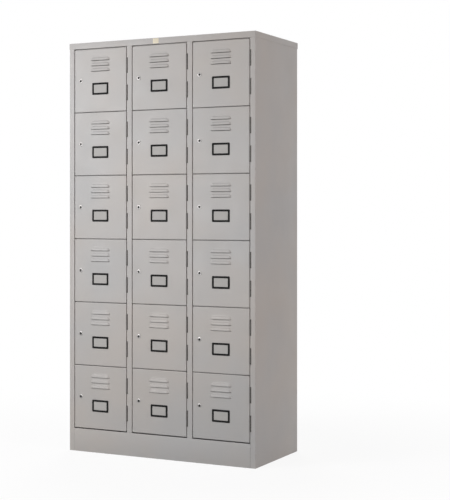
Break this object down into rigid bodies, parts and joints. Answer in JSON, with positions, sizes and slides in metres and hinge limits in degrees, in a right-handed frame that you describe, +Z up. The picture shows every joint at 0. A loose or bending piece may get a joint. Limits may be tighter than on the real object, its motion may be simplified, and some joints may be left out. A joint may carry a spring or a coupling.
{
  "type": "cube locker",
  "caption": "Freestanding steel cube locker with lockable compartments, each with a louvred hinged door, a label holder and a cam lock, between a lipped cap and a plinth.",
  "frame": {"origin": "on the floor, at the middle of the whole part's footprint", "axes": "+X to the right as seen from the front, -Y out of the doors, +Z up"},
  "size_m": [0.9166, 0.465, 1.829],
  "materials": {
    "powder_coat": "satin, fine orange peel",
    "lock_chrome": "polished plating"
  },
  "bodies": {
    "cabinet": {"side_panel_left": "powder_coat", "side_panel_right": "powder_coat", "partition_1": "powder_coat", "partition_2": "powder_coat", "back_panel": "powder_coat", "plinth": "powder_coat", "floor_panel": "powder_coat", "top_cap": "powder_coat", "shelf_left_1": "powder_coat", "shelf_left_2": "powder_coat", "shelf_left_3": "powder_coat", "shelf_left_4": "powder_coat", "shelf_left_5": "powder_coat", "shelf_centre_1": "powder_coat", "shelf_centre_2": "powder_coat", "shelf_centre_3": "powder_coat", "shelf_centre_4": "powder_coat", "shelf_centre_5": "powder_coat", "shelf_right_1": "powder_coat", "shelf_right_2": "powder_coat", "shelf_right_3": "powder_coat", "shelf_right_4": "powder_coat", "shelf_right_5": "powder_coat"},
    "door_left_1": {"door_left_1": "powder_coat"},
    "door_left_2": {"door_left_2": "powder_coat"},
    "door_left_3": {"door_left_3": "powder_coat"},
    "door_left_4": {"door_left_4": "powder_coat"},
    "door_left_5": {"door_left_5": "powder_coat"},
    "door_left_6": {"door_left_6": "powder_coat"},
    "door_centre_1": {"door_centre_1": "powder_coat"},
    "door_centre_2": {"door_centre_2": "powder_coat"},
    "door_centre_3": {"door_centre_3": "powder_coat"},
    "door_centre_4": {"door_centre_4": "powder_coat"},
    "door_centre_5": {"door_centre_5": "powder_coat"},
    "door_centre_6": {"door_centre_6": "powder_coat"},
    "door_right_1": {"door_right_1": "powder_coat"},
    "door_right_2": {"door_right_2": "powder_coat"},
    "door_right_3": {"door_right_3": "powder_coat"},
    "door_right_4": {"door_right_4": "powder_coat"},
    "door_right_5": {"door_right_5": "powder_coat"},
    "door_right_6": {"door_right_6": "powder_coat"},
    "lock_left_1": {"lock_left_1": "lock_chrome"},
    "lock_left_2": {"lock_left_2": "lock_chrome"},
    "lock_left_3": {"lock_left_3": "lock_chrome"},
    "lock_left_4": {"lock_left_4": "lock_chrome"},
    "lock_left_5": {"lock_left_5": "lock_chrome"},
    "lock_left_6": {"lock_left_6": "lock_chrome"},
    "lock_centre_1": {"lock_centre_1": "lock_chrome"},
    "lock_centre_2": {"lock_centre_2": "lock_chrome"},
    "lock_centre_3": {"lock_centre_3": "lock_chrome"},
    "lock_centre_4": {"lock_centre_4": "lock_chrome"},
    "lock_centre_5": {"lock_centre_5": "lock_chrome"},
    "lock_centre_6": {"lock_centre_6": "lock_chrome"},
    "lock_right_1": {"lock_right_1": "lock_chrome"},
    "lock_right_2": {"lock_right_2": "lock_chrome"},
    "lock_right_3": {"lock_right_3": "lock_chrome"},
    "lock_right_4": {"lock_right_4": "lock_chrome"},
    "lock_right_5": {"lock_right_5": "lock_chrome"},
    "lock_right_6": {"lock_right_6": "lock_chrome"}
  },
  "joints": [
    {"name": "door_left_1_hinge", "type": "hinge", "parent": "cabinet", "child": "door_left_1", "pos_m": [-0.16037, -0.2265, 1.65797], "axis": [0, 0, 1], "range_deg": [0, 120]},
    {"name": "door_left_2_hinge", "type": "hinge", "parent": "cabinet", "child": "door_left_2", "pos_m": [-0.16037, -0.2265, 1.3755], "axis": [0, 0, 1], "range_deg": [0, 120]},
    {"name": "door_left_3_hinge", "type": "hinge", "parent": "cabinet", "child": "door_left_3", "pos_m": [-0.16037, -0.2265, 1.09303], "axis": [0, 0, 1], "range_deg": [0, 120]},
    {"name": "door_left_4_hinge", "type": "hinge", "parent": "cabinet", "child": "door_left_4", "pos_m": [-0.16037, -0.2265, 0.81057], "axis": [0, 0, 1], "range_deg": [0, 120]},
    {"name": "door_left_5_hinge", "type": "hinge", "parent": "cabinet", "child": "door_left_5", "pos_m": [-0.16037, -0.2265, 0.5281], "axis": [0, 0, 1], "range_deg": [0, 120]},
    {"name": "door_left_6_hinge", "type": "hinge", "parent": "cabinet", "child": "door_left_6", "pos_m": [-0.16037, -0.2265, 0.24563], "axis": [0, 0, 1], "range_deg": [0, 120]},
    {"name": "door_centre_1_hinge", "type": "hinge", "parent": "cabinet", "child": "door_centre_1", "pos_m": [0.13657, -0.2265, 1.65797], "axis": [0, 0, 1], "range_deg": [0, 120]},
    {"name": "door_centre_2_hinge", "type": "hinge", "parent": "cabinet", "child": "door_centre_2", "pos_m": [0.13657, -0.2265, 1.3755], "axis": [0, 0, 1], "range_deg": [0, 120]},
    {"name": "door_centre_3_hinge", "type": "hinge", "parent": "cabinet", "child": "door_centre_3", "pos_m": [0.13657, -0.2265, 1.09303], "axis": [0, 0, 1], "range_deg": [0, 120]},
    {"name": "door_centre_4_hinge", "type": "hinge", "parent": "cabinet", "child": "door_centre_4", "pos_m": [0.13657, -0.2265, 0.81057], "axis": [0, 0, 1], "range_deg": [0, 120]},
    {"name": "door_centre_5_hinge", "type": "hinge", "parent": "cabinet", "child": "door_centre_5", "pos_m": [0.13657, -0.2265, 0.5281], "axis": [0, 0, 1], "range_deg": [0, 120]},
    {"name": "door_centre_6_hinge", "type": "hinge", "parent": "cabinet", "child": "door_centre_6", "pos_m": [0.13657, -0.2265, 0.24563], "axis": [0, 0, 1], "range_deg": [0, 120]},
    {"name": "door_right_1_hinge", "type": "hinge", "parent": "cabinet", "child": "door_right_1", "pos_m": [0.4335, -0.2265, 1.65797], "axis": [0, 0, 1], "range_deg": [0, 120]},
    {"name": "door_right_2_hinge", "type": "hinge", "parent": "cabinet", "child": "door_right_2", "pos_m": [0.4335, -0.2265, 1.3755], "axis": [0, 0, 1], "range_deg": [0, 120]},
    {"name": "door_right_3_hinge", "type": "hinge", "parent": "cabinet", "child": "door_right_3", "pos_m": [0.4335, -0.2265, 1.09303], "axis": [0, 0, 1], "range_deg": [0, 120]},
    {"name": "door_right_4_hinge", "type": "hinge", "parent": "cabinet", "child": "door_right_4", "pos_m": [0.4335, -0.2265, 0.81057], "axis": [0, 0, 1], "range_deg": [0, 120]},
    {"name": "door_right_5_hinge", "type": "hinge", "parent": "cabinet", "child": "door_right_5", "pos_m": [0.4335, -0.2265, 0.5281], "axis": [0, 0, 1], "range_deg": [0, 120]},
    {"name": "door_right_6_hinge", "type": "hinge", "parent": "cabinet", "child": "door_right_6", "pos_m": [0.4335, -0.2265, 0.24563], "axis": [0, 0, 1], "range_deg": [0, 120]},
    {"name": "lock_left_1_turn", "type": "hinge", "parent": "door_left_1", "child": "lock_left_1", "pos_m": [-0.3977, -0.2265, 1.65797], "axis": [0, 1, 0], "range_deg": [0, 90]},
    {"name": "lock_left_2_turn", "type": "hinge", "parent": "door_left_2", "child": "lock_left_2", "pos_m": [-0.3977, -0.2265, 1.3755], "axis": [0, 1, 0], "range_deg": [0, 90]},
    {"name": "lock_left_3_turn", "type": "hinge", "parent": "door_left_3", "child": "lock_left_3", "pos_m": [-0.3977, -0.2265, 1.09303], "axis": [0, 1, 0], "range_deg": [0, 90]},
    {"name": "lock_left_4_turn", "type": "hinge", "parent": "door_left_4", "child": "lock_left_4", "pos_m": [-0.3977, -0.2265, 0.81057], "axis": [0, 1, 0], "range_deg": [0, 90]},
    {"name": "lock_left_5_turn", "type": "hinge", "parent": "door_left_5", "child": "lock_left_5", "pos_m": [-0.3977, -0.2265, 0.5281], "axis": [0, 1, 0], "range_deg": [0, 90]},
    {"name": "lock_left_6_turn", "type": "hinge", "parent": "door_left_6", "child": "lock_left_6", "pos_m": [-0.3977, -0.2265, 0.24563], "axis": [0, 1, 0], "range_deg": [0, 90]},
    {"name": "lock_centre_1_turn", "type": "hinge", "parent": "door_centre_1", "child": "lock_centre_1", "pos_m": [-0.10077, -0.2265, 1.65797], "axis": [0, 1, 0], "range_deg": [0, 90]},
    {"name": "lock_centre_2_turn", "type": "hinge", "parent": "door_centre_2", "child": "lock_centre_2", "pos_m": [-0.10077, -0.2265, 1.3755], "axis": [0, 1, 0], "range_deg": [0, 90]},
    {"name": "lock_centre_3_turn", "type": "hinge", "parent": "door_centre_3", "child": "lock_centre_3", "pos_m": [-0.10077, -0.2265, 1.09303], "axis": [0, 1, 0], "range_deg": [0, 90]},
    {"name": "lock_centre_4_turn", "type": "hinge", "parent": "door_centre_4", "child": "lock_centre_4", "pos_m": [-0.10077, -0.2265, 0.81057], "axis": [0, 1, 0], "range_deg": [0, 90]},
    {"name": "lock_centre_5_turn", "type": "hinge", "parent": "door_centre_5", "child": "lock_centre_5", "pos_m": [-0.10077, -0.2265, 0.5281], "axis": [0, 1, 0], "range_deg": [0, 90]},
    {"name": "lock_centre_6_turn", "type": "hinge", "parent": "door_centre_6", "child": "lock_centre_6", "pos_m": [-0.10077, -0.2265, 0.24563], "axis": [0, 1, 0], "range_deg": [0, 90]},
    {"name": "lock_right_1_turn", "type": "hinge", "parent": "door_right_1", "child": "lock_right_1", "pos_m": [0.19617, -0.2265, 1.65797], "axis": [0, 1, 0], "range_deg": [0, 90]},
    {"name": "lock_right_2_turn", "type": "hinge", "parent": "door_right_2", "child": "lock_right_2", "pos_m": [0.19617, -0.2265, 1.3755], "axis": [0, 1, 0], "range_deg": [0, 90]},
    {"name": "lock_right_3_turn", "type": "hinge", "parent": "door_right_3", "child": "lock_right_3", "pos_m": [0.19617, -0.2265, 1.09303], "axis": [0, 1, 0], "range_deg": [0, 90]},
    {"name": "lock_right_4_turn", "type": "hinge", "parent": "door_right_4", "child": "lock_right_4", "pos_m": [0.19617, -0.2265, 0.81057], "axis": [0, 1, 0], "range_deg": [0, 90]},
    {"name": "lock_right_5_turn", "type": "hinge", "parent": "door_right_5", "child": "lock_right_5", "pos_m": [0.19617, -0.2265, 0.5281], "axis": [0, 1, 0], "range_deg": [0, 90]},
    {"name": "lock_right_6_turn", "type": "hinge", "parent": "door_right_6", "child": "lock_right_6", "pos_m": [0.19617, -0.2265, 0.24563], "axis": [0, 1, 0], "range_deg": [0, 90]}
  ]
}
